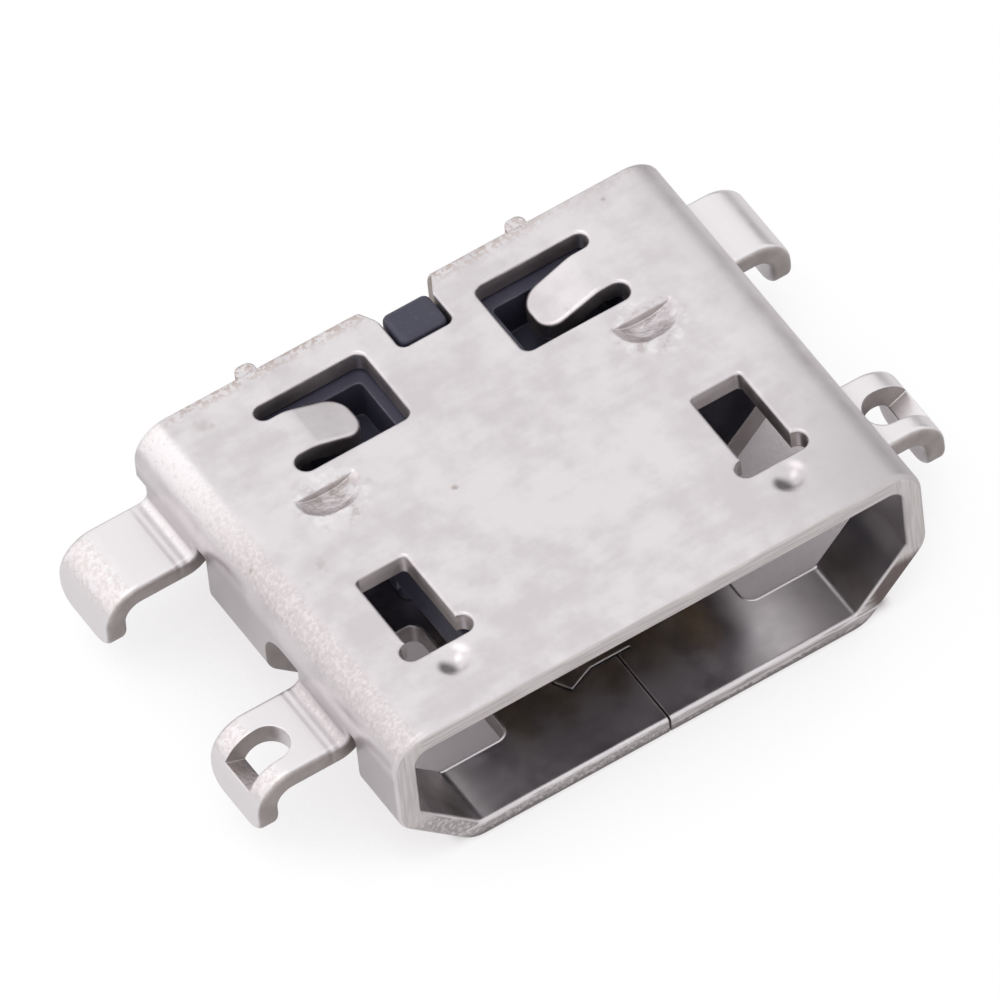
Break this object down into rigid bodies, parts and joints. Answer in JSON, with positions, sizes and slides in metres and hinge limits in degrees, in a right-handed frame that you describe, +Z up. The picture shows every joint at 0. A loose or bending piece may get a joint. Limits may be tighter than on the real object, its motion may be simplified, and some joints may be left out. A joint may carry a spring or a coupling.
{
  "type": "charging port",
  "caption": "Board-mounted charging port: a folded metal shell with latch windows, spring fingers and bent solder legs round a black tongue that carries the contacts",
  "frame": {"origin": "the middle of the mouth opening, in the plane of the shell's front edge", "axes": "+X along the mouth's width, to the right for someone who looks into the mouth; +Y from the mouth to the solder tails; +Z up, from the seam side to the side with the windows"},
  "size_m": [0.0097, 0.0064, 0.0024],
  "materials": {
    "plated_sheet": "satin bright nickel plate over stamped sheet",
    "moulding": "moulded, matte black",
    "contact_metal": "gold plate over copper alloy"
  },
  "bodies": {
    "root": {"shell": "plated_sheet", "insulator": "moulding", "contact_vbus": "contact_metal", "contact_d_minus": "contact_metal", "contact_d_plus": "contact_metal", "contact_id": "contact_metal", "contact_gnd": "contact_metal"}
  },
  "joints": []
}
